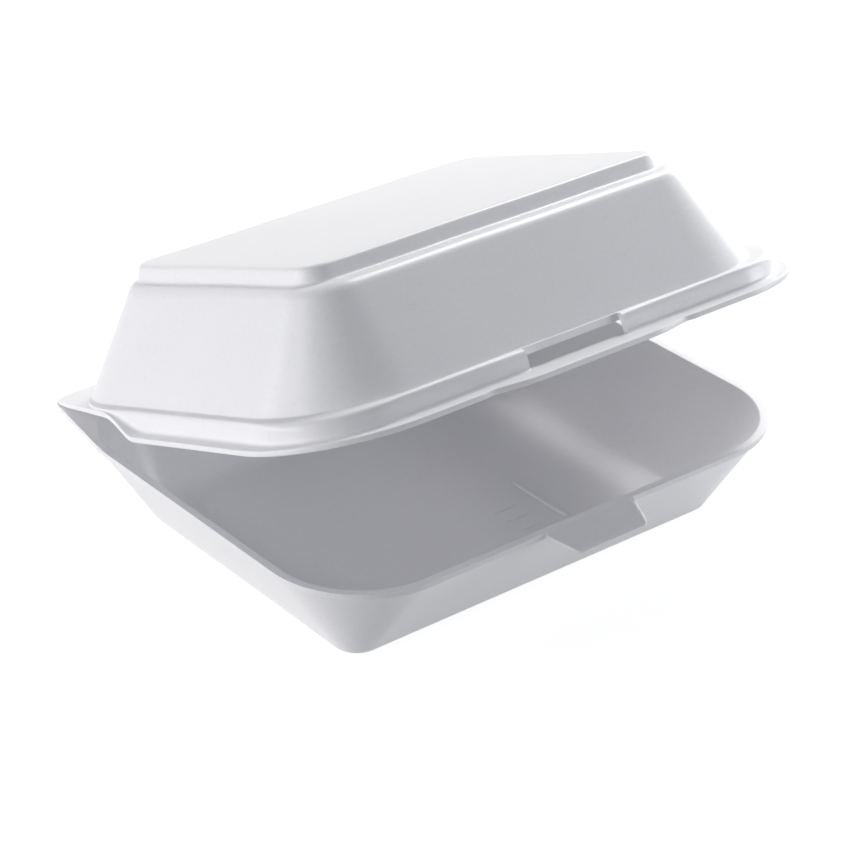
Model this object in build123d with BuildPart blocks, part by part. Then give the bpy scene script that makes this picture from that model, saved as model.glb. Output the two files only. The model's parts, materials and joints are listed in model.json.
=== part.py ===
from build123d import *

import os
from math import atan2, cos

# Foam clamshell container: a tray, a lid that swings on a fold at the back, and a locking tab.
# Millimetres, +Z up, the front at -Y. The origin is the middle of the tray's underside.
# The lid is drawn shut, in a frame with its origin at the middle of the fold, level with the tray's rim.
# The tab is drawn level, in a frame with its origin at the middle of its crease.
# Both are then turned to the angles at which they rest.

# Foam sheet
sheet = 2.0             # walls, floor and crown
web_sheet = 1.6         # pressed foam beside the fold, and the lid's skirt
flange_sheet = 1.6      # pressed foam of the lid's flange
tab_sheet = 1.2         # pressed foam of the locking tab

# Tray
rim_width = 169.7
rim_depth = 139.3
rim_radius = 29.8
tray_height = 30.3
side_spread = 18.5      # how far a side wall leans out between the floor and the rim
end_spread = 19.9       # the same for the front and back walls
floor_radius = 6.6
foot_rounding = 2.5     # outside edge of the floor
floor_rounding = 6.5    # inside edge of the floor

# Fold, and the webs on both sides of it
fold_setback = 4.8      # from the tray's rim back to the fold
fold_width = 160.0
fold_gap = 0.3          # between the two webs when the lid is shut
web_bend = 14.0         # from the fold forward to the bend in the web's edge
web_bend_width = 164.6
web_reach = 33.0        # from the fold forward to where the web's edge meets the rim's side

# Lid rim
lid_opening = 20.3      # the angle at which the lid rests, from shut
rim_clearance = 0.35    # between the tray's rim and the lid's skirt
seat_gap = 0.5          # between the tray's rim and the lid's ledge
flange_drop = 3.1       # from the rim plane down to the top of the flange
flange_side = 4.9       # how far the flange stands out from the skirt, at the sides
flange_front = 5.7
flange_radius = 34.0
skirt_radius = 25.5
ramp_reach = 60.0       # from the fold forward to where the flange starts to rise
ramp_rounding = 18.0
ledge_side = 3.5        # from the skirt's outside in to the foot of the crown
ledge_front = 2.5
ledge_back = 2.5
ledge_rounding = 1.8

# Lid crown
crown_setback = 5.2     # from the fold forward to the foot of the crown
shoulder_height = 32.1  # above the rim plane
side_lean = 16.9
front_lean = 15.5
back_lean = 21.1
crown_foot_radius = 31.2
crown_top_radius = 13.5
crown_rounding = 4.5
shoulder_side = 3.3     # width of the shoulder round the raised top
shoulder_front = 5.7
shoulder_back = 1.6
raised_top = 4.7
raised_top_lean = 1.6
raised_top_radius = 8.5
raised_top_rounding = 1.2

# Locking tab, and the window in the lid that it passes through
tab_droop = 9.0         # degrees below level
tab_length = 10.8
tab_root_width = 31.9
tab_end_width = 24.6
tab_corner = 1.5
window_clearance = 1.1
thumb_stand = 2.6       # how far the thumb edge stands out from the flange
thumb_flat_width = 42.0
thumb_width = 70.0

# Pressed ribs on the tray's floor
rib_height = 0.5
rib_width = 1.6
long_rib_length = 25.0
long_rib_place = (26.5, -19.0)
short_rib_length = 7.0
short_rib_count = 3
short_rib_pitch = 6.0
short_rib_place = (14.5, -22.5)

# Sizes that follow from those
fold_y = rim_depth / 2 + fold_setback
web_top = fold_gap / 2 + web_sheet
ledge_top = seat_gap + sheet
skirt_inner_half = rim_width / 2 + rim_clearance
skirt_outer_half = skirt_inner_half + web_sheet
skirt_inner_front = -rim_depth - fold_setback - rim_clearance
skirt_outer_front = skirt_inner_front - web_sheet
flange_half = skirt_outer_half + flange_side
flange_front_edge = skirt_outer_front - flange_front
flange_under = -flange_drop - flange_sheet
lid_top = shoulder_height + raised_top
overshoot = 10.0        # how far a cutting solid passes what it cuts


def outline(height, width, front, back, radius):
    """A rounded rectangle at a height, from its front edge to its back edge."""
    with BuildSketch(Plane.XY.offset(height)) as sketch:
        with Locations((0, (front + back) / 2)):
            RectangleRounded(width, back - front, radius)
    return sketch.sketch


def level_thickness(lean, rise):
    """The sheet's thickness measured level, in a wall that leans by this much over this rise."""
    return sheet / cos(atan2(lean, rise))


def bar_across(points):
    """A bar across the whole lid with this section, given as (y, z) points."""
    with BuildPart() as bar:
        with BuildSketch(Plane.YZ):
            with BuildLine():
                Polyline(*points, close=True)
            make_face()
        extrude(amount=flange_half + overshoot, both=True)
    return bar.part


# Tray. Its hollow leans as the outside does, one sheet thickness further in.
side_wall = level_thickness(side_spread, tray_height)
end_wall = level_thickness(end_spread, tray_height)
floor_share = sheet / tray_height
floor_half_width = rim_width / 2 - side_spread
floor_half_depth = rim_depth / 2 - end_spread
mouth_half_depth = rim_depth / 2 - end_wall
bed_half_width = floor_half_width + side_spread * floor_share - side_wall
bed_half_depth = floor_half_depth + end_spread * floor_share - end_wall
bed_radius = floor_radius + (rim_radius - floor_radius) * floor_share - side_wall

with BuildPart() as tray_hollow:
    tray_bed = outline(sheet, 2 * bed_half_width, -bed_half_depth, bed_half_depth, bed_radius)
    tray_mouth = outline(
        tray_height,
        rim_width - 2 * side_wall,
        -mouth_half_depth,
        mouth_half_depth,
        rim_radius - side_wall,
    )
    loft(sections=[tray_bed, tray_mouth], ruled=True)
    fillet(tray_hollow.faces().sort_by(Axis.Z)[0].edges(), floor_rounding)

with BuildPart() as tray:
    tray_foot = outline(0, 2 * floor_half_width, -floor_half_depth, floor_half_depth, floor_radius)
    tray_rim = outline(tray_height, rim_width, -rim_depth / 2, rim_depth / 2, rim_radius)
    loft(sections=[tray_foot, tray_rim], ruled=True)
    fillet(tray.faces().sort_by(Axis.Z)[0].edges(), foot_rounding)
    # The web that carries the fold fills the rounded corners of the rim.
    with BuildSketch(Plane.XY.offset(tray_height - web_top)):
        with BuildLine():
            Polyline(
                (0, fold_y),
                (fold_width / 2, fold_y),
                (web_bend_width / 2, fold_y - web_bend),
                (rim_width / 2, fold_y - web_reach),
                (0, fold_y - web_reach),
            )
            mirror(about=Plane.YZ)
        make_face()
    extrude(amount=web_sheet)
    add(tray_hollow.part, mode=Mode.SUBTRACT)
    # One long pressed rib and a row of short ones, near the front of the floor.
    with BuildSketch(Plane.XY.offset(sheet)):
        with Locations(long_rib_place):
            SlotOverall(long_rib_length, rib_width, rotation=90)
        with Locations(short_rib_place):
            with GridLocations(short_rib_pitch, short_rib_pitch, 1, short_rib_count):
                SlotOverall(short_rib_length, rib_width)
    extrude(amount=rib_height)
tray.part.label = "tray"

# Crown of the lid: leaning walls up to a shoulder, and a raised top on it.
foot_half = skirt_outer_half - ledge_side
foot_front = skirt_outer_front + ledge_front
shoulder_half = foot_half - side_lean
shoulder_front_edge = foot_front + front_lean
shoulder_back_edge = -crown_setback - back_lean
raised_half = shoulder_half - shoulder_side
raised_front_edge = shoulder_front_edge + shoulder_front
raised_back_edge = shoulder_back_edge - shoulder_back
crown_rise = shoulder_height - ledge_top


def crown_foot(height, side_inset, front_inset, back_inset):
    """The outline of the foot of the crown, set in from the outside by these amounts."""
    return outline(
        height,
        2 * (foot_half - side_inset),
        foot_front + front_inset,
        -crown_setback - back_inset,
        crown_foot_radius - side_inset,
    )


def raised_outline(height, inset):
    """The outline of the raised top at this height, set in from its foot."""
    return outline(
        height,
        2 * (raised_half - inset),
        raised_front_edge + inset,
        raised_back_edge - inset,
        raised_top_radius - min(inset, sheet),
    )


def crown(inset, side_inset, front_inset, back_inset, rounding):
    """The crown as a solid: its outside, or its hollow when the insets are the sheet's thickness."""
    with BuildPart() as shape:
        shoulder = outline(
            shoulder_height - inset,
            2 * (shoulder_half - side_inset),
            shoulder_front_edge + front_inset,
            shoulder_back_edge - back_inset,
            crown_top_radius - side_inset,
        )
        foot = crown_foot(ledge_top, side_inset, front_inset, back_inset)
        loft(sections=[foot, shoulder], ruled=True)
        fillet(shape.faces().sort_by(Axis.Z)[-1].edges(), rounding)
        # The raised top starts below the rounded shoulder, so that it meets it all round.
        root = raised_outline(shoulder_height - inset - rounding, inset)
        step = raised_outline(shoulder_height - inset, inset)
        peak = raised_outline(lid_top - inset, inset + raised_top_lean)
        loft(sections=[root, step, peak], ruled=True)
        fillet(shape.faces().sort_by(Axis.Z)[-1].edges(), raised_top_rounding)
    return shape.part


side_inset = level_thickness(side_lean, crown_rise)
front_inset = level_thickness(front_lean, crown_rise)
back_inset = level_thickness(back_lean, crown_rise)
crown_outside = crown(0, 0, 0, 0, crown_rounding)
crown_hollow = crown(sheet, side_inset, front_inset, back_inset, crown_rounding - sheet)

# Flange of the lid: one sheet, which drops below the rim plane along the front and the sides,
# and rises to lie flat on the tray's web beside the fold.
band_far = flange_front_edge - thumb_stand - overshoot
flange_band = bar_across([
    (band_far, flange_under),
    (-ramp_reach, flange_under),
    (-web_reach, fold_gap / 2),
    (0, fold_gap / 2),
    (0, web_top),
    (-web_reach, web_top),
    (-ramp_reach, -flange_drop),
    (band_far, -flange_drop),
])
with BuildPart() as lid_flange:
    with BuildSketch(Plane.XY.offset(flange_under - overshoot)) as flange_plan:
        with BuildLine():
            Polyline(
                (0, 0),
                (fold_width / 2, 0),
                (web_bend_width / 2, -web_bend),
                (rim_width / 2, -web_reach),
                (flange_half, -ramp_reach),
                (flange_half, flange_front_edge),
                (thumb_width / 2, flange_front_edge),
                (thumb_flat_width / 2, flange_front_edge - thumb_stand),
                (0, flange_front_edge - thumb_stand),
            )
            mirror(about=Plane.YZ)
        make_face()
        flange_corners = flange_plan.vertices().filter_by(lambda v: abs(v.X) > flange_half - overshoot / 2)
        fillet(flange_corners.filter_by_position(Axis.Y, flange_front_edge, -rim_depth), flange_radius)
        ramp_corners = flange_plan.vertices().filter_by_position(Axis.Y, -ramp_reach, -ramp_reach)
        fillet(ramp_corners, ramp_rounding)
    extrude(amount=2 * (overshoot + ledge_top))
    add(flange_band, mode=Mode.INTERSECT)

# Skirt and ledge of the lid, from the underside of the flange to the top of the ledge.
skirt_band = bar_across([
    (band_far, flange_under),
    (-ramp_reach, flange_under),
    (-web_reach, fold_gap / 2),
    (0, fold_gap / 2),
    (0, ledge_top),
    (band_far, ledge_top),
])
with BuildPart() as lid_skirt:
    skirt_plan = outline(
        flange_under - overshoot,
        2 * skirt_outer_half,
        skirt_outer_front,
        ledge_back - crown_setback,
        skirt_radius,
    )
    extrude(skirt_plan, amount=2 * (overshoot + ledge_top))
    add(skirt_band, mode=Mode.INTERSECT)
    fillet(lid_skirt.faces().sort_by(Axis.Z)[-1].edges(), ledge_rounding)

with BuildPart() as lid:
    add(lid_skirt.part)
    add(lid_flange.part)
    # Room for the tray's rim and web: inside the skirt, and under the ledge in front of the web.
    rim_plan = outline(0, 2 * skirt_inner_half, skirt_inner_front, 0, skirt_radius - web_sheet)
    extrude(rim_plan, amount=fold_gap / 2, mode=Mode.SUBTRACT)
    extrude(rim_plan, amount=-overshoot, mode=Mode.SUBTRACT)
    seat_plan = outline(
        0, 2 * skirt_inner_half, skirt_inner_front, -web_reach, skirt_radius - web_sheet
    )
    extrude(seat_plan, amount=seat_gap, mode=Mode.SUBTRACT)
    add(crown_outside)
    add(crown_hollow, mode=Mode.SUBTRACT)
    extrude(crown_foot(ledge_top, side_inset, front_inset, back_inset), amount=-overshoot, mode=Mode.SUBTRACT)
    # The window for the locking tab takes away the ledge and the skirt, down to the flange.
    with Locations((0, foot_front, -flange_drop)):
        Box(
            tab_root_width + 2 * window_clearance,
            foot_front - skirt_outer_front,
            flange_drop + ledge_top,
            align=(Align.CENTER, Align.MAX, Align.MIN),
            mode=Mode.SUBTRACT,
        )

lid_plane = Plane(origin=(0, fold_y, tray_height)).rotated((-lid_opening, 0, 0))
lid_at_rest = lid_plane.location * lid.part
lid_at_rest.label = "lid"

with BuildPart() as locking_tab:
    with BuildSketch(Plane.XY.offset(-tab_sheet)) as tab_plan:
        with BuildLine():
            Polyline(
                (tab_root_width / 2, 0),
                (tab_end_width / 2, -tab_length),
                (-tab_end_width / 2, -tab_length),
                (-tab_root_width / 2, 0),
                close=True,
            )
        make_face()
        fillet(tab_plan.vertices().group_by(Axis.Y)[0], tab_corner)
    extrude(amount=tab_sheet)

tab_plane = Plane(origin=(0, -rim_depth / 2, tray_height)).rotated((tab_droop, 0, 0))
tab_at_rest = tab_plane.location * locking_tab.part
tab_at_rest.label = "locking_tab"

os.makedirs("parts", exist_ok=True)
export_step(tray.part, "parts/tray.step")
export_step(lid_at_rest, "parts/lid.step")
export_step(tab_at_rest, "parts/locking_tab.step")
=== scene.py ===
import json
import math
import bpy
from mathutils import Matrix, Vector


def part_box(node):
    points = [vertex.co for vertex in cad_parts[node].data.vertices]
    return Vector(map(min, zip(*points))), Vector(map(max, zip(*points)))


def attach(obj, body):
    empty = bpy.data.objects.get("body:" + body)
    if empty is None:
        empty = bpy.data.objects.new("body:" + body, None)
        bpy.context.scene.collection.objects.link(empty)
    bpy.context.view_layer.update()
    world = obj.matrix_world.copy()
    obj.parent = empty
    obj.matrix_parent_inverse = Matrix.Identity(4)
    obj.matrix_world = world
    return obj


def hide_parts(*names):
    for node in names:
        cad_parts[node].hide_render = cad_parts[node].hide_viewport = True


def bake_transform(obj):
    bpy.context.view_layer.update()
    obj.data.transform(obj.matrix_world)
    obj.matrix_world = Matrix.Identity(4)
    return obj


bl_info = {
    "name": "Foam Clamshell Container",
    "version": (1, 0, 0),
    "blender": (4, 5, 0),
    "location": "3D View > Sidebar > Container",
    "description": "Builds the foam skin of a hinged take-away box around its packed frame",
    "category": "Add Mesh",
}

import bpy
import numpy as np
from bpy.props import FloatProperty, FloatVectorProperty, IntProperty, PointerProperty
from mathutils import Vector, noise

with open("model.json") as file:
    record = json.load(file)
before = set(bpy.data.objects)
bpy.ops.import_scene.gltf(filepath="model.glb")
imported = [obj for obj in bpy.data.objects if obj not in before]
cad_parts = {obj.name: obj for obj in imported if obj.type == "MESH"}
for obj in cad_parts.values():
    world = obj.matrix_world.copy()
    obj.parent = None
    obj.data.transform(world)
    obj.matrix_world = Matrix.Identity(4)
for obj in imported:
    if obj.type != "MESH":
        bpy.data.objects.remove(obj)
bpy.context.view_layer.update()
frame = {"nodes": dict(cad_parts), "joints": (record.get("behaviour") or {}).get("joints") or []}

MM = 0.001
TINY = 1e-12

# The frame: where the tray, the fold and the crease of the tab are.
JOINTS = {joint["name"]: joint for joint in frame["joints"]}
FOLD = JOINTS["lid_fold"]
CREASE = JOINTS["tab_crease"]
FOLD_Y = FOLD["pos_m"][1]
RIM_Z = FOLD["pos_m"][2]
LID_ANGLE = math.radians(-FOLD["range_deg"][0])
TRAY_LOW, TRAY_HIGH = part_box("tray")
RIM_HALF = TRAY_HIGH.x
RIM_FRONT = TRAY_LOW.y
RIM_BACK = -TRAY_LOW.y


def lid_box():
    """The lowest and highest corners of the lid's solid in the lid's own frame, in which it is shut."""
    points = np.array([vertex.co for vertex in frame["nodes"]["lid"].data.vertices])
    points = points - np.array((0, FOLD_Y, RIM_Z))
    turned = points @ turn_about_x(LID_ANGLE).T
    return turned.min(0), turned.max(0)


def turn_about_x(angle):
    """The matrix that turns points about the X axis."""
    c, s = math.cos(angle), math.sin(angle)
    return np.array(((1, 0, 0), (0, c, -s), (0, s, c)))


LID_LOW, LID_HIGH = lid_box()

# Pressed ribs on the tray's floor, in millimetres: middle, length, and turn in degrees.
RIBS = (
    ((26.5, -19.0), 25.0, 90),
    ((14.5, -28.5), 7.0, 0),
    ((14.5, -22.5), 7.0, 0),
    ((14.5, -16.5), 7.0, 0),
)

# Where the side of the lid's flange runs in towards the fold, in millimetres: half width, distance from the fold.
RAMP_SIDE = ((87.6, -43), (85.4, -28), (82.9, -11))

# Soft lamps: name, turn from the front, rise, width, height, strength at the part, colour.
LAMP_DISTANCE = 0.95
LAMPS = (
    ("low_back_right", 115, 10, 0.40, 0.34, 0.32, (1.0, 0.975, 0.985)),
    ("high_back_right", 122, 45, 0.30, 0.30, 0.54, (1.0, 0.99, 0.985)),
    ("low_front_right", 60, 10, 0.40, 0.34, 0.38, (0.94, 0.965, 1.0)),
    ("low_left", -92, 10, 0.40, 0.34, 0.26, (1.0, 0.985, 1.0)),
    ("low_back_left", -125, 10, 0.40, 0.34, 0.20, (1.0, 0.99, 1.0)),
    ("strip_left", -104, 30, 0.08, 0.40, 0.13, (1.0, 1.0, 1.0)),
)

# The floor and the world.
FLOOR_HALF = 6.0
FLOOR_GLOW = 0.90
SHADOW_DEPTH = 0.25
SURROUND_COLOUR = (0.86, 0.92, 1.0)
SURROUND_STRENGTH = 0.15

# Noise settings of the foam: slow clouds in its colour, and fine changes in its satin.
CLOUDS = {"Scale": 28.0, "Contrast": 1.6}
SATIN = {"Scale": 260.0, "Contrast": 1.3}


# ---------------------------------------------------------------- properties

def length(name, description, default_mm):
    """A length property, with its default in millimetres."""
    return FloatProperty(
        name=name, description=description, default=default_mm * MM, min=0.0,
        unit="LENGTH", subtype="DISTANCE", precision=5,
    )


def tint(name, description, default):
    """A colour property."""
    return FloatVectorProperty(
        name=name, description=description, default=default, min=0.0, max=1.0, size=3, subtype="COLOR",
    )


class ContainerMeshSettings(bpy.types.PropertyGroup):
    run_steps: IntProperty(name="Run steps", description="Columns along the front and the back", default=64, min=8)
    side_steps: IntProperty(name="Side steps", description="Columns along each side", default=44, min=8)
    corner_steps: IntProperty(name="Corner steps", description="Columns round each corner", default=20, min=4)
    row_gap: length("Row gap", "Largest distance between the rows of a wall", 3.0)
    wave: length("Waviness", "How far the pressed sheet strays from true", 0.22)
    wave_size: length("Wave size", "Distance over which the sheet strays", 42.0)
    wave_seed: IntProperty(name="Wave seed", description="Picks the way that the sheet strays", default=7, min=1)


class ContainerTraySettings(bpy.types.PropertyGroup):
    sheet: length("Sheet", "Thickness of the walls and the floor", 2.0)
    web: length("Web sheet", "Thickness of the web beside the fold", 1.6)
    rim_radius: length("Rim radius", "Corner radius of the rim", 29.8)
    side_spread: length("Side spread", "Lean of the side walls", 18.5)
    end_spread: length("End spread", "Lean of the front and back walls", 19.9)
    floor_radius: length("Floor radius", "Corner radius of the floor", 6.6)
    floor_rounding: length("Floor rounding", "Rounding between the floor and the walls, inside", 7.0)
    foot_rounding: length("Foot rounding", "Rounding between the floor and the walls, outside", 3.0)
    edge_rounding: length("Edge rounding", "Rounding of the cut edges", 0.4)
    fold_half: length("Fold half width", "Half the length of the fold", 80.0)
    bend_reach: length("Web bend reach", "From the fold to the bend in the web's edge", 14.0)
    bend_half: length("Web bend half width", "Half the width of the web at its bend", 82.3)
    web_reach: length("Web reach", "From the fold to where the web meets the side of the rim", 33.0)
    rib_height: length("Rib height", "Height of the pressed ribs", 0.55)
    rib_width: length("Rib width", "Width of the pressed ribs", 1.9)


class ContainerLidSettings(bpy.types.PropertyGroup):
    sheet: length("Sheet", "Thickness of the crown", 2.0)
    flange_sheet: length("Flange sheet", "Thickness of the flange and the skirt", 1.6)
    rim_clearance: length("Rim clearance", "Between the tray's rim and the skirt", 0.35)
    seat_gap: length("Seat gap", "Between the tray's rim and the ledge", 0.5)
    flange_drop: length("Flange drop", "From the rim plane down to the top of the flange", 3.1)
    flange_front: length("Flange front width", "Width of the flange at the front, beside the thumb edge", 5.7)
    flange_radius: length("Flange radius", "Front corner radius of the flange", 34.0)
    skirt_radius: length("Skirt radius", "Front corner radius of the skirt", 25.5)
    skirt_rear_radius: length("Skirt rear radius", "Rear corner radius of the skirt", 40.0)
    ledge_height: length("Ledge height", "From the rim plane up to the top of the ledge", 2.5)
    ledge_side: length("Ledge side width", "Width of the ledge at the sides", 3.5)
    ledge_end: length("Ledge end width", "Width of the ledge at the front and the back", 2.5)
    ledge_rounding: length("Ledge rounding", "Rounding of the ledge's outer edge", 2.3)
    foot_crease: length("Foot crease", "Rounding between the crown's foot and the ledge", 0.7)
    crown_setback: length("Crown setback", "From the fold to the foot of the crown", 5.2)
    crown_foot_radius: length("Crown foot radius", "Corner radius of the crown's foot", 31.2)
    crown_top_radius: length("Crown top radius", "Corner radius of the shoulder", 13.5)
    shoulder_height: length("Shoulder height", "From the rim plane up to the shoulder", 32.1)
    shoulder_crease: length("Shoulder crease", "Rounding between the raised top's edge and the shoulder", 1.3)
    inner_rounding: length("Inner rounding", "Rounding of the inside of the raised top", 0.8)
    shoulder_rounding: length("Shoulder rounding", "Rounding of the shoulder's edge", 4.5)
    side_lean: length("Side lean", "Lean of the crown's sides", 16.9)
    front_lean: length("Front lean", "Lean of the crown's front", 15.5)
    back_lean: length("Back lean", "Lean of the crown's back", 21.1)
    shoulder_side: length("Shoulder side width", "Width of the shoulder at the sides", 3.3)
    shoulder_front: length("Shoulder front width", "Width of the shoulder at the front", 5.7)
    shoulder_back: length("Shoulder back width", "Width of the shoulder at the back", 1.6)
    raised_lean: length("Raised lean", "Lean of the raised top's edge", 1.6)
    raised_radius: length("Raised radius", "Corner radius of the raised top", 8.5)
    raised_rounding: length("Raised rounding", "Rounding of the raised top's edge", 1.4)
    ramp_start: length("Ramp start", "From the fold to where the flange starts to rise", 62.0)
    ramp_end: length("Ramp end", "From the fold to where the flange lies flat on the web", 41.0)
    thumb_flat_half: length("Thumb flat half width", "Half the straight part of the thumb edge", 21.0)
    thumb_half: length("Thumb half width", "Half the width of the thumb edge", 35.5)
    thumb_notch: length("Thumb notch", "Depth of the notch at each end of the thumb edge", 0.7)
    window_half: length("Window half width", "Half the width of the tab's window", 17.05)


class ContainerTabSettings(bpy.types.PropertyGroup):
    sheet: length("Sheet", "Thickness of the tab", 1.2)
    root_half: length("Root half width", "Half the width of the tab at its crease", 15.95)
    end_half: length("End half width", "Half the width of the tab at its end", 12.3)
    reach: length("Length", "From the crease to the tab's end", 10.8)
    corner: length("Corner", "Corner radius of the tab's end", 1.5)
    edge_rounding: length("Edge rounding", "Rounding of the cut edges", 0.3)
    rolled: length("Rolled edge", "Width over which the edges roll down", 0.8)
    curl: length("Curl", "How far the tab's end curls down", 0.35)


class ContainerFoamSettings(bpy.types.PropertyGroup):
    skin: tint("Skin", "Colour of the pressed skin", (0.955, 0.95, 0.965))
    skin_shade: tint("Skin shade", "Colour of the skin's darker patches", (0.925, 0.925, 0.945))
    cut: tint("Cut edge", "Colour of the cut foam", (0.955, 0.955, 0.96))
    cell: length("Cell", "Size of the foam's cells", 0.9)
    skin_roughness: FloatProperty(name="Skin roughness", description="Roughness of the skin", default=0.36)
    cut_roughness: FloatProperty(name="Cut roughness", description="Roughness of the cut edge", default=0.6)


class ContainerStageSettings(bpy.types.PropertyGroup):
    camera_distance: length("Camera distance", "From the camera to the aim", 819.0)
    camera_turn: FloatProperty(
        name="Camera turn", description="Camera's turn from the front", default=math.radians(-38.38), subtype="ANGLE")
    camera_rise: FloatProperty(
        name="Camera rise", description="Camera's angle above the table", default=math.radians(29.1), subtype="ANGLE")
    focal_length: FloatProperty(name="Focal length", description="Lens in millimetres", default=121.14)
    aim: FloatVectorProperty(
        name="Aim", description="The point that the camera looks at", size=3, subtype="TRANSLATION",
        default=(-5.76 * MM, FOLD_Y - 79.26 * MM, 31.99 * MM))
    floor_shade: tint("Floor", "Colour of the floor", (0.8, 0.8, 0.8))


SETTINGS = {
    "container_mesh": ContainerMeshSettings,
    "container_tray": ContainerTraySettings,
    "container_lid": ContainerLidSettings,
    "container_tab": ContainerTabSettings,
    "container_foam": ContainerFoamSettings,
    "container_stage": ContainerStageSettings,
}


# ---------------------------------------------------------------- outlines and sections

def corner_turns(steps, through):
    """Directions round a corner from 0 to a quarter turn, one of them exactly the given direction."""
    first = max(1, min(steps - 1, round(steps * through / (math.pi / 2))))
    before = np.linspace(0, through, first + 1)
    after = np.linspace(through, math.pi / 2, steps - first + 1)
    return np.concatenate((before, after[1:]))


def outline(half, front, back, front_radius, rear_radius, rear_turn):
    """The columns of a rounded rectangle, anticlockwise from the middle of its front left corner.

    Returns the points and the outward directions. The same column of two outlines faces the same way.
    """
    grid = bpy.context.scene.container_mesh
    even = np.linspace(0, math.pi / 2, grid.corner_steps + 1)
    rear = corner_turns(grid.corner_steps, rear_turn)
    corners = (
        (half - front_radius, front + front_radius, front_radius, even - math.pi / 2, grid.run_steps),
        (half - rear_radius, back - rear_radius, rear_radius, rear, grid.side_steps),
        (rear_radius - half, back - rear_radius, rear_radius, math.pi - rear[::-1], grid.run_steps),
        (front_radius - half, front + front_radius, front_radius, math.pi + even, grid.side_steps),
    )
    points, outward = [], []
    x, y, radius, turns, _ = corners[3]
    last = np.array((x + radius * math.cos(turns[-1]), y + radius * math.sin(turns[-1])))
    for x, y, radius, turns, steps in corners:
        directions = np.column_stack((np.cos(turns), np.sin(turns)))
        arc = np.array((x, y)) + radius * directions
        shares = np.arange(steps)[:, None] / steps
        points += [last + (arc[0] - last) * shares, arc[:-1]]
        outward += [np.repeat(directions[:1], steps, 0), directions[:-1]]
        last = arc[-1]
    half_corner = grid.corner_steps // 2
    return np.roll(np.vstack(points), half_corner, 0), np.roll(np.vstack(outward), half_corner, 0)


def reach_line(points, outward, line):
    """Where rays from the points, going outward, first meet a closed line. A point outside it stays."""
    a = line[None, :, :]
    edge = np.roll(line, -1, 0)[None, :, :] - a
    p, d = points[:, None, :], outward[:, None, :]
    cross = d[..., 0] * edge[..., 1] - d[..., 1] * edge[..., 0]
    cross = np.where(np.abs(cross) < 1e-12, 1e-12, cross)
    gap = a - p
    along = (gap[..., 0] * edge[..., 1] - gap[..., 1] * edge[..., 0]) / cross
    share = (gap[..., 0] * d[..., 1] - gap[..., 1] * d[..., 0]) / cross
    hit = (share >= -1e-6) & (share <= 1 + 1e-6) & (along > -1e-6)
    along = np.where(hit, along, np.inf).min(1)
    along = np.where(np.isfinite(along), along, 0)
    return points + outward * along[:, None]


def raised(points, height):
    """Points in the plane lifted to one height, or to a height each."""
    return np.column_stack((points, np.broadcast_to(height, len(points))))


def rounded_rows(stations):
    """Rows down a section, and which of them lie on the cut edge.

    A station is its points, the radius that rounds it, the arc's steps, and whether it is cut.
    """
    points = np.array([station[0] for station in stations])
    runs = points[1:] - points[:-1]
    lengths = np.linalg.norm(runs, axis=2) + TINY
    cosines = -(runs[:-1] * runs[1:]).sum(2) / (lengths[:-1] * lengths[1:])
    half_angles = np.arccos(np.clip(cosines, -1, 1)) / 2
    wanted = np.zeros(points.shape[:2])
    for k, (_, radius, steps, _) in enumerate(stations[1:-1]):
        if steps:
            wanted[k + 1] = radius / np.tan(np.maximum(half_angles[k], 1e-3))
    # Two arcs that need more than the run between them share it.
    fit = np.minimum(1, 0.98 * lengths / (wanted[:-1] + wanted[1:] + TINY))
    rows, cut = [points[0]], [stations[0][3]]
    for k, (corner, _, steps, is_cut) in enumerate(stations[1:-1]):
        cut += [is_cut] * (steps + 1)
        if not steps:
            rows.append(corner)
            continue
        reach = wanted[k + 1] * np.minimum(fit[k], fit[k + 1])
        start = corner - runs[k] * (reach / lengths[k])[:, None]
        end = corner + runs[k + 1] * (reach / lengths[k + 1])[:, None]
        weight = np.sin(half_angles[k])[:, None]
        for t in np.linspace(0, 1, steps + 1):
            low, middle, high = (1 - t) ** 2, 2 * weight * t * (1 - t), t ** 2
            rows.append((low * start + middle * corner + high * end) / (low + middle + high))
    return rows + [points[-1]], cut + [stations[-1][3]]


def filled_rows(rows, cut, gap):
    """The rows with more put between those that lie far apart, and whether each band between two is cut."""
    full, bands = [], []
    for row, following, row_cut, following_cut in zip(rows, rows[1:], cut, cut[1:]):
        distance = np.linalg.norm(following - row, axis=1).max()
        pieces = max(1, math.ceil(distance / gap))
        for piece in range(pieces):
            full.append(row + (following - row) * (piece / pieces))
            bands.append(row_cut and following_cut)
    full.append(rows[-1])
    return np.array(full), bands


def new_piece(name, vertices, faces, materials=None):
    """A mesh object of these vertices and faces, linked to the scene."""
    mesh = bpy.data.meshes.new(name)
    mesh.from_pydata(vertices, [], faces)
    if materials:
        mesh.polygons.foreach_set("material_index", materials)
    mesh.update()
    piece = bpy.data.objects.new(name, mesh)
    bpy.context.scene.collection.objects.link(piece)
    return piece


def patch_inside(loop):
    """The points of a grid inside a loop of columns, without its border."""
    grid = bpy.context.scene.container_mesh
    across = grid.run_steps + grid.corner_steps
    along = grid.side_steps + grid.corner_steps
    front = loop[:across + 1]
    right = loop[across:across + along + 1]
    rear = loop[across + along:2 * across + along + 1][::-1]
    left = np.vstack((loop[2 * across + along:], loop[:1]))[::-1]
    u = np.linspace(0, 1, across + 1)[1:-1, None, None]
    v = np.linspace(0, 1, along + 1)[None, 1:-1, None]
    edges = (
        (1 - v) * front[1:-1, None] + v * rear[1:-1, None]
        + (1 - u) * left[None, 1:-1] + u * right[None, 1:-1]
    )
    corners = (
        (1 - u) * (1 - v) * front[0] + u * (1 - v) * front[-1]
        + (1 - u) * v * rear[0] + u * v * rear[-1]
    )
    return edges - corners, across, along


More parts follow.
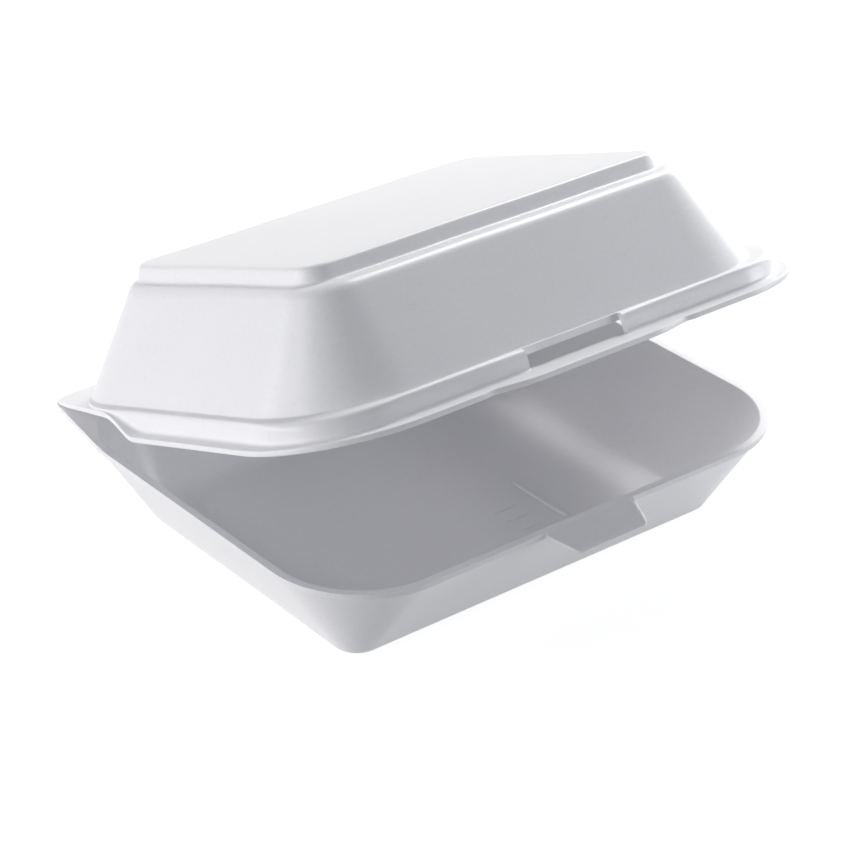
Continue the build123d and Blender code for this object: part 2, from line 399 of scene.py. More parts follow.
def patch_faces(border, inside_start, across, along, flip):
    """The faces of a patch whose border is these vertex indices and whose inside starts at an index."""
    def vertex(i, j):
        if j == 0:
            return border[i]
        if i == across:
            return border[across + j]
        if j == along:
            return border[2 * across + along - i]
        if i == 0:
            return border[(2 * across + 2 * along - j) % len(border)]
        return inside_start + (i - 1) * (along - 1) + j - 1

    faces = []
    for i in range(across):
        for j in range(along):
            face = (vertex(i, j), vertex(i + 1, j), vertex(i + 1, j + 1), vertex(i, j + 1))
            faces.append(face[::-1] if flip else face)
    return faces


def shell(name, stations):
    """A closed foam shell through its stations, from the middle of one side round the edge to the other side."""
    rows, bands = filled_rows(*rounded_rows(stations), bpy.context.scene.container_mesh.row_gap)
    count = rows.shape[1]
    vertices = rows.reshape(-1, 3)
    faces, materials = [], []
    for k, is_cut in enumerate(bands):
        for i in range(count):
            j = (i + 1) % count
            faces.append((k * count + i, (k + 1) * count + i, (k + 1) * count + j, k * count + j))
            materials.append(int(is_cut))
    last_start = (len(rows) - 1) * count
    for start, loop, flip in ((0, rows[0], False), (last_start, rows[-1], True)):
        inside, across, along = patch_inside(loop)
        border = list(range(start, start + count))
        new = patch_faces(border, len(vertices), across, along, flip)
        vertices = np.vstack((vertices, inside.reshape(-1, 3)))
        faces += new
        materials += [0] * len(new)
    return new_piece(name, vertices.tolist(), faces, materials)


def smooth_step(value):
    """0 below 0, 1 above 1, and a smooth rise between."""
    value = np.clip(value, 0, 1)
    return value * value * (3 - 2 * value)


def make_wavy(piece, strength):
    """Lets the pressed sheet stray from true. Strength gives each point's share, from 0 to 1."""
    grid = bpy.context.scene.container_mesh
    noise.seed_set(grid.wave_seed)
    for vertex in piece.data.vertices:
        share = strength(vertex.co)
        if share > 0:
            stray = noise.noise_vector(vertex.co / grid.wave_size)
            vertex.co += stray * (grid.wave * share)


def finish_piece(piece, body, materials, sharp=35):
    """Shades a piece, gives it its materials, and lets it ride on its body. A piece that blends two has None."""
    piece.data.materials.clear()
    for material in materials:
        piece.data.materials.append(material)
    piece.data.polygons.foreach_set("use_smooth", [True] * len(piece.data.polygons))
    piece.data.set_sharp_from_angle(angle=math.radians(sharp))
    piece.data.update()
    if body:
        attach(piece, body)


def cut_away(piece, cutter, operation):
    """Cuts a piece with another closed mesh, or joins the two, and removes the other."""
    cut = piece.modifiers.new("cut", "BOOLEAN")
    cut.operation = operation
    cut.solver = "EXACT"
    cut.material_mode = "TRANSFER"
    cut.object = cutter
    bpy.context.view_layer.update()
    evaluated = piece.evaluated_get(bpy.context.evaluated_depsgraph_get())
    mesh = bpy.data.meshes.new_from_object(evaluated)
    piece.modifiers.clear()
    old = piece.data
    piece.data = mesh
    bpy.data.meshes.remove(old)
    mesh.name = piece.name
    bpy.data.objects.remove(cutter)


# ---------------------------------------------------------------- foam

def node_group(name, inputs, outputs):
    """An empty shader group with named sockets, and its input and output nodes."""
    group = bpy.data.node_groups.new(name, "ShaderNodeTree")
    for direction, sockets in (("INPUT", inputs), ("OUTPUT", outputs)):
        for label, kind, default in sockets:
            socket = group.interface.new_socket(name=label, in_out=direction, socket_type=kind)
            if default is not None:
                socket.default_value = default
    return group, group.nodes.new("NodeGroupInput"), group.nodes.new("NodeGroupOutput")


def math_node(tree, operation, first, second, clamp=False):
    """A Math node between two sockets or numbers. Returns its output."""
    node = tree.nodes.new("ShaderNodeMath")
    node.operation = operation
    node.use_clamp = clamp
    for socket, value in zip(node.inputs, (first, second)):
        if isinstance(value, (int, float)):
            socket.default_value = value
        else:
            tree.links.new(value, socket)
    return node.outputs[0]


def cells_group():
    """Foam cells: soft domes that meet in fine dimples, and specks between them."""
    group, start, end = node_group(
        "Foam cells",
        [("Vector", "NodeSocketVector", None), ("Cell", "NodeSocketFloat", 0.001),
         ("Irregular", "NodeSocketFloat", 0.5)],
        [("Height", "NodeSocketFloat", None), ("Dimples", "NodeSocketFloat", None)],
    )
    size = math_node(group, "DIVIDE", 1.0, start.outputs["Cell"])
    domes = group.nodes.new("ShaderNodeTexVoronoi")
    domes.feature = "SMOOTH_F1"
    domes.inputs["Smoothness"].default_value = 0.6
    fine = group.nodes.new("ShaderNodeTexNoise")
    fine.inputs["Detail"].default_value = 3.0
    group.links.new(start.outputs["Vector"], domes.inputs["Vector"])
    group.links.new(size, domes.inputs["Scale"])
    group.links.new(start.outputs["Vector"], fine.inputs["Vector"])
    group.links.new(math_node(group, "MULTIPLY", size, 0.45), fine.inputs["Scale"])
    dome = math_node(group, "SUBTRACT", 1.0, domes.outputs["Distance"])
    rough = math_node(group, "MULTIPLY", fine.outputs["Fac"], start.outputs["Irregular"])
    group.links.new(math_node(group, "ADD", dome, rough), end.inputs["Height"])
    dimple = group.nodes.new("ShaderNodeMapRange")
    dimple.inputs["From Min"].default_value = 0.45
    dimple.inputs["From Max"].default_value = 0.95
    group.links.new(domes.outputs["Distance"], dimple.inputs["Value"])
    group.links.new(dimple.outputs["Result"], end.inputs["Dimples"])
    return group


def mottle_group():
    """Slow, cloudy changes over a pressed sheet, as a value from 0 to 1."""
    group, start, end = node_group(
        "Foam mottle",
        [("Vector", "NodeSocketVector", None), ("Scale", "NodeSocketFloat", 40.0),
         ("Contrast", "NodeSocketFloat", 1.5)],
        [("Value", "NodeSocketFloat", None)],
    )
    cloud = group.nodes.new("ShaderNodeTexNoise")
    cloud.inputs["Detail"].default_value = 4.0
    cloud.inputs["Roughness"].default_value = 0.55
    group.links.new(start.outputs["Vector"], cloud.inputs["Vector"])
    group.links.new(start.outputs["Scale"], cloud.inputs["Scale"])
    centred = math_node(group, "SUBTRACT", cloud.outputs["Fac"], 0.5)
    spread = math_node(group, "MULTIPLY", centred, start.outputs["Contrast"])
    group.links.new(math_node(group, "ADD", spread, 0.5, clamp=True), end.inputs["Value"])
    return group


def shared_group(name, build):
    """The node group of this name, built once."""
    return bpy.data.node_groups.get(name) or build()


def place_group(tree, group, values, vector):
    """A group node in a material, with its own values and the given coordinates."""
    node = tree.nodes.new("ShaderNodeGroup")
    node.node_tree = group
    for label, value in values.items():
        node.inputs[label].default_value = value
    tree.links.new(vector, node.inputs["Vector"])
    return node


def mix_colours(tree, factor, first, second):
    """A Mix node between two colours, which are sockets or values. Returns its output."""
    mix = tree.nodes.new("ShaderNodeMix")
    mix.data_type = "RGBA"
    sockets = {(s.name, s.type): s for s in mix.inputs}
    tree.links.new(factor, sockets["Factor", "VALUE"])
    for socket, value in ((sockets["A", "RGBA"], first), (sockets["B", "RGBA"], second)):
        if isinstance(value, bpy.types.NodeSocket):
            tree.links.new(value, socket)
        else:
            socket.default_value = (*value, 1.0)
    return next(s for s in mix.outputs if s.type == "RGBA")


def foam_material(name, light, shade, cell, irregular, depth, roughness, roughness_spread, specular):
    """White foam: a cloudy tone, cells that show as faint dimples, and a satin that varies over the sheet."""
    material = bpy.data.materials.new(name)
    material.use_nodes = True
    tree = material.node_tree
    shader = tree.nodes["Principled BSDF"]
    place = tree.nodes.new("ShaderNodeTexCoord").outputs["Object"]
    cell_values = {"Cell": cell, "Irregular": irregular}
    cells = place_group(tree, shared_group("Foam cells", cells_group), cell_values, place)
    cloud = place_group(tree, shared_group("Foam mottle", mottle_group), CLOUDS, place)
    fine = place_group(tree, shared_group("Foam mottle", mottle_group), SATIN, place)
    tone = mix_colours(tree, cloud.outputs["Value"], light, shade)
    darker = tuple(0.93 * channel for channel in shade)
    speck = math_node(tree, "MULTIPLY", cells.outputs["Dimples"], 0.45)
    tree.links.new(mix_colours(tree, speck, tone, darker), shader.inputs["Base Color"])
    satin = math_node(tree, "MULTIPLY", fine.outputs["Value"], roughness_spread)
    satin = math_node(tree, "ADD", satin, roughness - roughness_spread / 2)
    tree.links.new(satin, shader.inputs["Roughness"])
    bump = tree.nodes.new("ShaderNodeBump")
    bump.inputs["Strength"].default_value = 1.0
    bump.inputs["Distance"].default_value = depth
    tree.links.new(cells.outputs["Height"], bump.inputs["Height"])
    tree.links.new(bump.outputs["Normal"], shader.inputs["Normal"])
    shader.inputs["IOR"].default_value = 1.5
    shader.inputs["Specular IOR Level"].default_value = specular
    return material


def foam_materials():
    """The skin and the cut edge of the foam, made once."""
    foam = bpy.context.scene.container_foam
    skin = bpy.data.materials.get("foam_skin") or foam_material(
        "foam_skin", foam.skin, foam.skin_shade, foam.cell, 0.5, 0.012 * MM,
        foam.skin_roughness, 0.08, 0.5)
    cut = bpy.data.materials.get("foam_cut_edge") or foam_material(
        "foam_cut_edge", foam.cut, foam.skin, 0.55 * foam.cell, 1.0, 0.05 * MM,
        foam.cut_roughness, 0.12, 0.4)
    return skin, cut


# ---------------------------------------------------------------- tray

def tray_web_line(tray):
    """The closed line round the tray's rim and the web beside the fold, in the part's frame."""
    side = [
        (RIM_HALF, RIM_FRONT - 5 * MM),
        (RIM_HALF, FOLD_Y - tray.web_reach),
        (tray.bend_half, FOLD_Y - tray.bend_reach),
        (tray.fold_half, FOLD_Y),
    ]
    return np.array(side + [(-x, y) for x, y in reversed(side)])


class CONTAINER_OT_tray(bpy.types.Operator):
    """Builds the tray: floor, leaning walls, cut rim, and the web that carries the fold"""

    bl_idname = "container.tray"
    bl_label = "Tray"

    def execute(self, context):
        tray = context.scene.container_tray
        radius = tray.rim_radius
        centre = (RIM_HALF - radius, RIM_BACK - radius)
        turn = math.atan2(FOLD_Y - centre[1], tray.fold_half - centre[0])
        floor_half, floor_depth = RIM_HALF - tray.side_spread, RIM_BACK - tray.end_spread

        def wall(height, inset):
            """The outside of the wall at a height, or its inside when inset."""
            share = height / RIM_Z
            half = floor_half + tray.side_spread * share - inset
            depth = floor_depth + tray.end_spread * share - inset
            corner = max(tray.floor_radius + (radius - tray.floor_radius) * share - inset, 1.5 * MM)
            return outline(half, -depth, depth, corner, corner, turn)

        side_wall = tray.sheet / math.cos(math.atan2(tray.side_spread, RIM_Z))
        rim, outward = wall(RIM_Z, 0)
        web_edge = reach_line(rim, outward, tray_web_line(tray))
        stands_out = np.linalg.norm(web_edge - rim, axis=1)
        is_web = smooth_step((rim[:, 1] - (FOLD_Y - tray.web_reach)) / (3 * MM))
        edge = rim + (web_edge - rim) * (stands_out * is_web > 0)[:, None] * is_web[:, None]
        web_top = RIM_Z - 0.15 * MM * is_web
        under = web_top - tray.web
        foot, _ = wall(0, 0)
        inner_floor, _ = wall(tray.sheet, side_wall)
        inset_floor, _ = wall(tray.sheet, side_wall + tray.floor_rounding)
        inset_foot, _ = wall(0, tray.foot_rounding + 2 * MM)
        near_fold = smooth_step((edge[:, 1] - (FOLD_Y - 0.5 * MM)) / (0.5 * MM))
        thin = 0.5 * (tray.web - 0.5 * MM) * near_fold
        taper = rim + (edge - rim) * 0.8
        lip = tray.edge_rounding
        piece = shell("tray_foam", (
            (raised(inset_floor, tray.sheet), 0, 0, False),
            (raised(inner_floor, tray.sheet), tray.floor_rounding, 10, False),
            (raised(wall(RIM_Z, side_wall)[0], RIM_Z), lip, 3, True),
            (raised(taper, web_top), 0, 0, True),
            (raised(edge, web_top - 0.2 * thin), lip, 3, True),
            (raised(edge, under + 1.8 * thin), lip, 3, True),
            (raised(taper, under), 0, 0, True),
            (raised(wall(RIM_Z - tray.web, 0)[0], under - 0.25 * MM), 0.5 * MM, 2, False),
            (raised(foot, 0), tray.foot_rounding, 8, False),
            (raised(inset_foot, 0), 0, 0, False),
        ))
        for number, (place, reach, turn) in enumerate(RIBS):
            cut_away(piece, rib_piece(f"rib_{number}", place, reach * MM, math.radians(turn), tray), "UNION")
        make_wavy(piece, lambda p: float(smooth_step((RIM_Z - p.z) / (12 * MM)) * smooth_step(p.z / (1.5 * MM))))
        finish_piece(piece, "tray", foam_materials())
        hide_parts("tray")
        return {"FINISHED"}


def rib_piece(name, place, reach, turn, tray):
    """A low rounded rib, its foot a little below the floor's surface."""
    around, rings, sunk = 28, 6, 0.4 * MM
    straight = reach / 2 - tray.rib_width / 2
    vertices = []
    for ring in range(rings + 1):
        rise = math.sin(ring / rings * math.pi / 2)
        grow = 1.0 if ring == 0 else math.cos(ring / rings * math.pi / 2) ** 0.6
        height = -sunk if ring == 0 else tray.rib_height * rise
        for k in range(around):
            angle = 2 * math.pi * (k + 0.5) / around
            side = 1 if math.cos(angle) > 0 else -1
            radius = tray.rib_width / 2 * max(grow, 0.05)
            x = side * straight + radius * math.cos(angle)
            y = radius * math.sin(angle)
            vertices.append((
                place[0] * MM + x * math.cos(turn) - y * math.sin(turn),
                place[1] * MM + x * math.sin(turn) + y * math.cos(turn),
                tray.sheet + height,
            ))
    faces = [tuple(range(around))[::-1], tuple(rings * around + k for k in range(around))]
    for ring in range(rings):
        for k in range(around):
            following = (k + 1) % around
            faces.append((ring * around + k, ring * around + following,
                          (ring + 1) * around + following, (ring + 1) * around + k))
    return new_piece(name, vertices, faces)


# ---------------------------------------------------------------- lid

def flange_line(lid, tray):
    """The closed cut line round the lid's flange, in the lid's frame: front at negative Y, fold at 0."""
    half = LID_HIGH[0]
    thumb_front = LID_LOW[1]
    front = skirt_front(lid) - lid.flange_front
    radius = lid.flange_radius
    side = [(0, thumb_front), (lid.thumb_flat_half, thumb_front)]
    for share in np.linspace(0, 1, 13)[1:]:
        x = lid.thumb_flat_half + (lid.thumb_half - lid.thumb_flat_half) * share
        side.append((x, thumb_front + (front + lid.thumb_notch - thumb_front) * smooth_step(share)))
    side.append((lid.thumb_half + 0.4 * MM, front))
    for angle in np.linspace(-math.pi / 2, 0, 41):
        side.append((half - radius + radius * math.cos(angle), front + radius + radius * math.sin(angle)))
    ramp = [(half, -lid.ramp_start), *((x * MM, y * MM) for x, y in RAMP_SIDE), (tray.fold_half, 0)]
    side += curve_through(ramp)[1:]
    return np.array(side + [(-x, y) for x, y in reversed(side[1:])])


def curve_through(points, steps=8):
    """A smooth curve through points, as a list of close points."""
    points = [np.array(p, float) for p in points]
    ends = [2 * points[0] - points[1]] + points + [2 * points[-1] - points[-2]]
    line = []
    for a, b, c, d in zip(ends, ends[1:], ends[2:], ends[3:]):
        for t in np.arange(steps) / steps:
            line.append(tuple(0.5 * (2 * b + (c - a) * t + (2 * a - 5 * b + 4 * c - d) * t ** 2
                                     + (3 * b - a - 3 * c + d) * t ** 3)))
    line.append(tuple(points[-1]))
    return line


def skirt_front(lid):
    """The front of the skirt's outside, in the lid's frame."""
    return RIM_FRONT - FOLD_Y - lid.rim_clearance - lid.flange_sheet


def to_part_frame(piece):
    """Turns a piece from the lid's own frame to the angle at which the lid rests."""
    turn = turn_about_x(-LID_ANGLE)
    points = np.empty(3 * len(piece.data.vertices))
    piece.data.vertices.foreach_get("co", points)
    points = points.reshape(-1, 3) @ turn.T + np.array((0, FOLD_Y, RIM_Z))
    piece.data.vertices.foreach_set("co", points.ravel())
    piece.data.update()


class CONTAINER_OT_lid(bpy.types.Operator):
    """Builds the lid: raised top, shoulder, leaning walls, ledge, skirt, flange, and the tab's window"""

    bl_idname = "container.lid"
    bl_label = "Lid"

    def execute(self, context):
        lid = context.scene.container_lid
        tray = context.scene.container_tray
        skirt_half = RIM_HALF + lid.rim_clearance + lid.flange_sheet
        front = skirt_front(lid)
        skirt_back = lid.ledge_end - lid.crown_setback
        rear_radius = lid.skirt_rear_radius
        centre = (skirt_half - rear_radius, skirt_back - rear_radius)
        turn = math.atan2(-centre[1], tray.fold_half - centre[0])
        top = LID_HIGH[2]
        foot_half = skirt_half - lid.ledge_side
        foot_front = front + lid.ledge_end
        crown_rise = lid.shoulder_height - lid.ledge_height

        def box_outline(half, front_edge, back_edge, radius):
            return outline(half, front_edge, back_edge, radius, radius, turn)[0]

        def crown(share, side=0.0, front_in=0.0, back_in=0.0):
            """The crown between its foot, share 0, and its shoulder, share 1, set in by these amounts."""
            return box_outline(
                foot_half - lid.side_lean * share - side,
                foot_front + lid.front_lean * share + front_in,
                -lid.crown_setback - lid.back_lean * share - back_in,
                lid.crown_foot_radius + (lid.crown_top_radius - lid.crown_foot_radius) * share - side,
            )

        def raised_top(inset):
            return box_outline(
                foot_half - lid.side_lean - lid.shoulder_side - inset,
                foot_front + lid.front_lean + lid.shoulder_front + inset,
                -lid.crown_setback - lid.back_lean - lid.shoulder_back - inset,
                lid.raised_radius - min(inset, 3.0 * MM),
            )

        side_in = lid.sheet / math.cos(math.atan2(lid.side_lean, crown_rise))
        front_in = lid.sheet / math.cos(math.atan2(lid.front_lean, crown_rise))
        back_in = lid.sheet / math.cos(math.atan2(lid.back_lean, crown_rise))

        skirt, outward = outline(skirt_half, front, skirt_back, lid.skirt_radius, rear_radius, turn)
        inner_skirt = skirt - outward * lid.flange_sheet
        edge = reach_line(skirt, outward, flange_line(lid, tray))
        web_top = 0.15 * MM + lid.flange_sheet

        def flange_top(points):
            """The height of the flange's top: low at the front and the sides, on the web beside the fold."""
            rise = (points[:, 1] + lid.ramp_start) / (lid.ramp_start - lid.ramp_end)
            return -lid.flange_drop + (web_top + lid.flange_drop) * smooth_step(rise)

        near_fold = smooth_step((edge[:, 1] + 0.5 * MM) / (0.5 * MM))
        thin = (lid.flange_sheet - 0.5 * MM) * near_fold
        taper = skirt + (edge - skirt) * 0.78
        ledge = lid.ledge_height
        shoulder = lid.shoulder_height
        fillet_top = np.minimum(lid.ledge_rounding, 0.62 * (ledge - flange_top(skirt)))
        fillet_foot = np.minimum(1.1 * MM, 0.38 * (ledge - flange_top(skirt)))
        outer_edge, outer_taper = flange_top(edge), flange_top(taper)
        sheet_under = flange_top(skirt) - lid.flange_sheet
        piece = shell("lid_foam", (
            (raised(raised_top(6 * MM), top), 0, 0, False),
            (raised(raised_top(lid.raised_lean), top), lid.raised_rounding, 5, False),
            (raised(raised_top(0), shoulder), lid.shoulder_crease, 4, False),
            (raised(crown(1), shoulder), lid.shoulder_rounding, 9, False),
            (raised(crown(0), ledge), lid.foot_crease, 5, False),
            (raised(skirt, ledge), fillet_top, 7, False),
            (raised(skirt, flange_top(skirt)), fillet_foot, 4, False),
            (raised(taper, outer_taper), 0, 0, False),
            (raised(edge, outer_edge - thin), 0.3 * MM, 3, True),
            (raised(edge, outer_edge - lid.flange_sheet), 0.3 * MM, 3, True),
            (raised(taper, outer_taper - lid.flange_sheet), 0, 0, False),
            (raised(inner_skirt, sheet_under), 0.6 * MM, 3, False),
            (raised(inner_skirt, lid.seat_gap), 0.6 * MM, 3, False),
            (raised(crown(0, side_in, front_in, back_in), lid.seat_gap), 1.2 * MM, 3, False),
            (raised(crown(1, side_in, front_in, back_in), shoulder - lid.sheet), 2.5 * MM, 5, False),
            (raised(raised_top(lid.sheet), shoulder - lid.sheet), lid.inner_rounding, 3, False),
            (raised(raised_top(lid.sheet + lid.raised_lean), top - lid.sheet), lid.inner_rounding, 3, False),
            (raised(raised_top(7 * MM), top - lid.sheet), 0, 0, False),
        ))
        cut_away(piece, window_cutter(lid, foot_front, front), "DIFFERENCE")
        make_wavy(piece, lambda p: float(smooth_step((p.z - 4 * MM) / (14 * MM))))
        to_part_frame(piece)
        finish_piece(piece, "lid", foam_materials())
        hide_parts("lid")
        return {"FINISHED"}


def window_cutter(lid, foot_front, front):
    """The block that cuts the tab's window out of the ledge and the skirt, down to the flange."""
    low = (-lid.window_half, front - 1.2 * MM, -lid.flange_drop + 0.02 * MM)
    high = (lid.window_half, foot_front - 0.1 * MM, lid.ledge_height + 0.45 * MM)
    corners = [(x, y, z) for z in (low[2], high[2]) for y in (low[1], high[1]) for x in (low[0], high[0])]
    faces = [(0, 2, 3, 1), (4, 5, 7, 6), (0, 1, 5, 4), (2, 6, 7, 3), (0, 4, 6, 2), (1, 3, 7, 5)]
    piece = new_piece("window_cutter", corners, faces)
    piece.data.materials.append(foam_materials()[1])
    return piece


# ---------------------------------------------------------------- tab and creases

class CONTAINER_OT_tab(bpy.types.Operator):
    """Builds the locking tab: a thin tapered flap that hangs from the rim and droops a little at its end"""

    bl_idname = "container.tab"
    bl_label = "Locking tab"

    def execute(self, context):
        tab = context.scene.container_tab
        across, along = 36, 14
        distances, halves = tab_profile(tab)
        top, under = [], []
        for j in range(along + 1):
            share = j / along
            half = np.interp(share * tab.reach, distances, halves)
            for i in range(across + 1):
                side = 2 * i / across - 1
                edge = max(abs(side) * half - (half - tab.rolled), 0) / tab.rolled
                end = max(share * tab.reach - (tab.reach - tab.rolled), 0) / tab.rolled
                roll = tab.edge_rounding * max(edge, end) ** 2
                curl = tab.curl * share ** 2
                x, y = side * half, -share * tab.reach
                top.append((x, y, -roll - curl))
                under.append((x, y, -tab.sheet + 0.6 * roll - curl))
        count = len(top)
        width = across + 1
        faces, materials = [], []
        for j in range(along):
            for i in range(across):
                a, b, c, d = j * width + i, j * width + i + 1, (j + 1) * width + i + 1, (j + 1) * width + i
                faces += [(a, d, c, b), (count + a, count + b, count + c, count + d)]
                materials += [0, 0]
        border = list(range(width))
        border += [j * width + across for j in range(1, along + 1)]
        border += [along * width + i for i in range(across - 1, -1, -1)]
        border += [j * width for j in range(along - 1, 0, -1)]
        for a, b in zip(border, border[1:] + border[:1]):
            faces.append((a, b, count + b, count + a))
            materials.append(1)
        points = np.array(top + under) @ turn_about_x(tab_droop(tab)).T + np.array(CREASE["pos_m"])
        piece = new_piece("tab_foam", points.tolist(), faces, materials)
        finish_piece(piece, "locking_tab", foam_materials(), 50)
        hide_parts("locking_tab")
        return {"FINISHED"}


def tab_droop(tab):
    """The angle at which the tab hangs below level."""
    low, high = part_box("locking_tab")
    return math.atan2(high.z - low.z - tab.sheet, high.y - low.y)


def tab_profile(tab):
    """The tab's half width at distances from its crease, with rounded corners at its end."""
    distances = list(np.linspace(0, tab.reach - tab.corner, 6))
    halves = [tab.root_half + (tab.end_half - tab.root_half) * d / tab.reach for d in distances]
    for angle in np.linspace(0, math.pi / 2, 8)[1:]:
        distances.append(tab.reach - tab.corner + tab.corner * math.sin(angle))
        halves.append(tab.end_half + 0.3 * MM - tab.corner * (1 - math.cos(angle)))
    return distances, halves


def ribbon(name, half, section, steps):
    """A thin closed ribbon across the part: its section is a closed line of (y, z) points."""
    count = len(section)
    vertices = [(-half + 2 * half * k / steps, y, z) for k in range(steps + 1) for y, z in section]
    faces = [tuple(range(count)), tuple(steps * count + i for i in range(count))[::-1]]
    for k in range(steps):
        for i in range(count):
            j = (i + 1) % count
            faces.append((k * count + i, (k + 1) * count + i, (k + 1) * count + j, k * count + j))
    return new_piece(name, vertices, faces)


def strip_section(middle, thickness):
    """The closed section of a strip of even thickness along a middle line of (y, z) points."""
    middle = np.array(middle)
    along = np.gradient(middle, axis=0)
    along /= np.linalg.norm(along, axis=1)[:, None]
    side = np.column_stack((-along[:, 1], along[:, 0])) * (thickness / 2)
    return [tuple(p) for p in np.vstack((middle + side, (middle - side)[::-1]))]


class CONTAINER_OT_creases(bpy.types.Operator):
    """Builds the thinned creases: the fold at the back, and the crease at the root of the tab"""

    bl_idname = "container.creases"
    bl_label = "Creases"

    def execute(self, context):
        tray = context.scene.container_tray
        tab = context.scene.container_tab
        skin = foam_materials()[0]
        # The fold goes round the back, from the tray's web to the lid's.
        reach, bend = 1.0 * MM, 0.32 * MM
        turns = np.linspace(-math.pi / 2, math.pi / 2, 9)
        middle = [(-reach, -bend), *((bend * math.cos(a), bend * math.sin(a)) for a in turns), (-reach, bend)]
        lifted = []
        for y, z in middle:
            angle = -LID_ANGLE * (1 if z > 0.05 * MM else 0.5 if z > -0.05 * MM else 0)
            lifted.append((y * math.cos(angle) - z * math.sin(angle), y * math.sin(angle) + z * math.cos(angle)))
        section = [(FOLD_Y + y, RIM_Z + z) for y, z in strip_section(lifted, 0.3 * MM)]
        fold = ribbon("fold_crease", tray.fold_half - 0.3 * MM, section, 40)
        finish_piece(fold, None, [skin], 60)
        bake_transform(fold)
        # The tab's crease bridges the rim and the tab's root.
        y, z = CREASE["pos_m"][1:]
        droop = tab_droop(tab)
        line = [(y + 1.2 * MM, z - 0.32 * MM), (y + 0.5 * MM, z - 0.3 * MM), (y, z - 0.3 * MM)]
        line += [(y - d * math.cos(droop), z - 0.3 * MM - d * math.sin(droop)) for d in (0.5 * MM, 1.2 * MM)]
        bridge = ribbon("tab_crease", tab.root_half - 0.25 * MM, strip_section(line, 0.5 * MM), 24)
        finish_piece(bridge, None, [skin], 60)
        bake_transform(bridge)
        return {"FINISHED"}


# ---------------------------------------------------------------- stage

def white_for_the_camera(tree, plain):
    """Gives the output of a shader that is white to camera, glossy and transmission rays, and plain otherwise."""
    path = tree.nodes.new("ShaderNodeLightPath")
    seen = math_node(tree, "MAXIMUM", path.outputs["Is Camera Ray"], path.outputs["Is Glossy Ray"])
    seen = math_node(tree, "MAXIMUM", seen, path.outputs["Is Transmission Ray"])
    mix = tree.nodes.new("ShaderNodeMixShader")
    tree.links.new(seen, mix.inputs["Fac"])
    tree.links.new(plain, mix.inputs[1])
    return mix


def aimed(place, aim):
    """The rotation that points an object's -Z axis from a place at an aim."""
    return (Vector(aim) - Vector(place)).to_track_quat("-Z", "Y").to_euler()


def direction(turn, rise):
    """The direction of something that stands at these angles, in degrees, from the front and from level."""
    turn, rise = math.radians(turn), math.radians(rise)
    return Vector((math.sin(turn) * math.cos(rise), -math.cos(turn) * math.cos(rise), math.sin(rise)))


def softbox(name, turn, rise, distance, width, height, strength, colour, aim):
    """A soft lamp that faces the part. Its strength is the light that it gives at the part, near 1."""
    lamp = bpy.data.lights.new(name, "AREA")
    lamp.shape = "RECTANGLE"
    lamp.size, lamp.size_y = width, height
    lamp.energy = strength * math.pi * math.pi * distance * distance
    lamp.color = colour
    stand = bpy.data.objects.new(name, lamp)
    bpy.context.scene.collection.objects.link(stand)
    stand.location = Vector(aim) + direction(turn, rise) * distance
    stand.rotation_euler = aimed(stand.location, aim)
    return stand


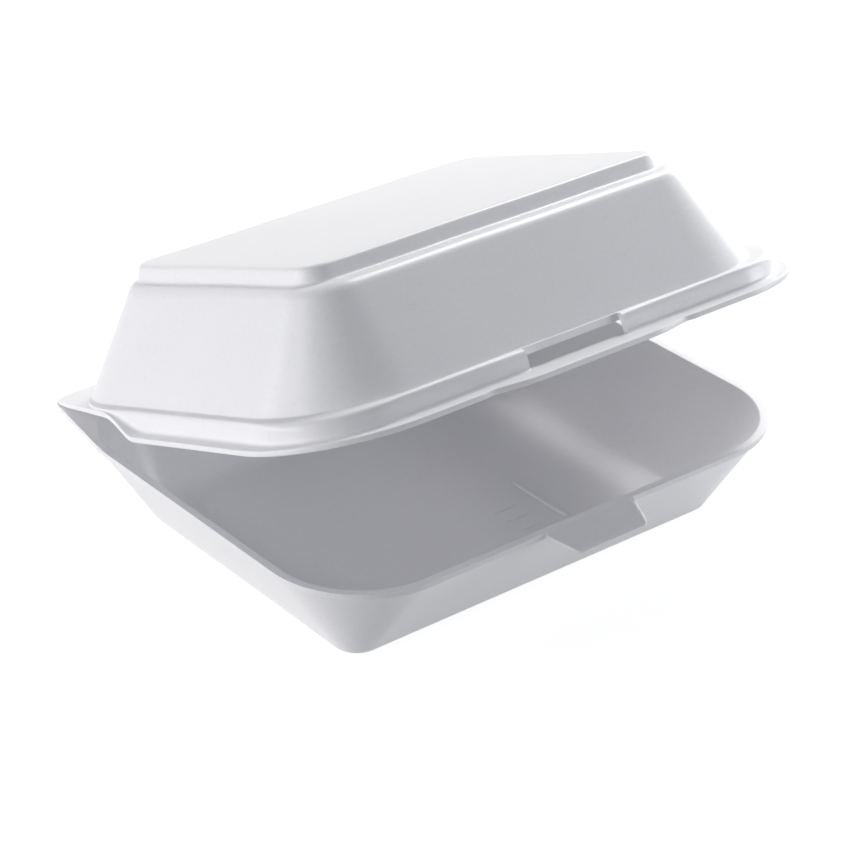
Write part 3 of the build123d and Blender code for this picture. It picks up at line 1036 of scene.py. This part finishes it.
class CONTAINER_OT_stage(bpy.types.Operator):
    """Builds the pale floor, the soft lamps and the camera"""

    bl_idname = "container.stage"
    bl_label = "Stage"

    def execute(self, context):
        scene = context.scene
        stage = scene.container_stage
        scene.view_settings.view_transform = "Standard"
        aim = Vector(stage.aim)
        self.make_floor(stage)
        self.make_world(scene)
        for name, turn, rise, width, height, strength, colour in LAMPS:
            softbox(name, turn, rise, LAMP_DISTANCE, width, height, strength, colour, aim)
        lens = bpy.data.cameras.new("camera")
        lens.sensor_width = 36.0
        lens.lens = stage.focal_length
        lens.clip_start = 0.05
        camera = bpy.data.objects.new("camera", lens)
        scene.collection.objects.link(camera)
        towards = direction(math.degrees(stage.camera_turn), math.degrees(stage.camera_rise))
        camera.location = aim + towards * stage.camera_distance
        camera.rotation_euler = aimed(camera.location, aim)
        scene.camera = camera
        return {"FINISHED"}

    def make_floor(self, stage):
        """A wide floor, white to the camera but for the part's soft shadow."""
        corners = [(x * FLOOR_HALF, y * FLOOR_HALF, 0) for x, y in ((-1, -1), (1, -1), (1, 1), (-1, 1))]
        floor = new_piece("floor", corners, [(0, 1, 2, 3)])
        material = bpy.data.materials.new("floor")
        material.use_nodes = True
        tree = material.node_tree
        tree.nodes.remove(tree.nodes["Principled BSDF"])
        plain = tree.nodes.new("ShaderNodeBsdfDiffuse")
        plain.inputs["Color"].default_value = (*stage.floor_shade, 1.0)
        faint = tree.nodes.new("ShaderNodeBsdfDiffuse")
        faint.inputs["Color"].default_value = (SHADOW_DEPTH, SHADOW_DEPTH, SHADOW_DEPTH, 1.0)
        glow = tree.nodes.new("ShaderNodeEmission")
        glow.inputs["Strength"].default_value = FLOOR_GLOW
        both = tree.nodes.new("ShaderNodeAddShader")
        tree.links.new(faint.outputs[0], both.inputs[0])
        tree.links.new(glow.outputs[0], both.inputs[1])
        mix = white_for_the_camera(tree, plain.outputs[0])
        tree.links.new(both.outputs[0], mix.inputs[2])
        tree.links.new(mix.outputs[0], tree.nodes["Material Output"].inputs["Surface"])
        floor.data.materials.append(material)

    def make_world(self, scene):
        """A dim, slightly cool surround that is white to the camera."""
        world = bpy.data.worlds.new("surround")
        scene.world = world
        world.use_nodes = True
        tree = world.node_tree
        plain = tree.nodes["Background"]
        plain.inputs["Color"].default_value = (*SURROUND_COLOUR, 1.0)
        plain.inputs["Strength"].default_value = SURROUND_STRENGTH
        white = tree.nodes.new("ShaderNodeBackground")
        white.inputs["Color"].default_value = (1.0, 1.0, 1.0, 1.0)
        mix = white_for_the_camera(tree, plain.outputs[0])
        tree.links.new(white.outputs[0], mix.inputs[2])
        tree.links.new(mix.outputs[0], tree.nodes["World Output"].inputs["Surface"])


# ---------------------------------------------------------------- panel and registration

class CONTAINER_PT_panel(bpy.types.Panel):
    """Lists the pieces of the container"""

    bl_idname = "CONTAINER_PT_panel"
    bl_label = "Foam Clamshell Container"
    bl_space_type = "VIEW_3D"
    bl_region_type = "UI"
    bl_category = "Container"

    def draw(self, context):
        for name, settings in SETTINGS.items():
            box = self.layout.box()
            box.label(text=name.replace("container_", "").capitalize())
            for field in settings.__annotations__:
                box.prop(getattr(context.scene, name), field)
        for operator in OPERATORS:
            self.layout.operator(operator.bl_idname)


OPERATORS = (CONTAINER_OT_tray, CONTAINER_OT_lid, CONTAINER_OT_tab, CONTAINER_OT_creases, CONTAINER_OT_stage)


def register():
    for settings in SETTINGS.values():
        bpy.utils.register_class(settings)
    for name, settings in SETTINGS.items():
        setattr(bpy.types.Scene, name, PointerProperty(type=settings))
    for operator in OPERATORS:
        bpy.utils.register_class(operator)
    bpy.utils.register_class(CONTAINER_PT_panel)


def unregister():
    bpy.utils.unregister_class(CONTAINER_PT_panel)
    for operator in reversed(OPERATORS):
        bpy.utils.unregister_class(operator)
    for name, settings in SETTINGS.items():
        delattr(bpy.types.Scene, name)
        bpy.utils.unregister_class(settings)


def main():
    """Registers the add-on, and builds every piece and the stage."""
    register()
    bpy.ops.container.stage()
    bpy.ops.container.tray()
    bpy.ops.container.lid()
    bpy.ops.container.tab()
    bpy.ops.container.creases()


if __name__ == "__main__":
    main()
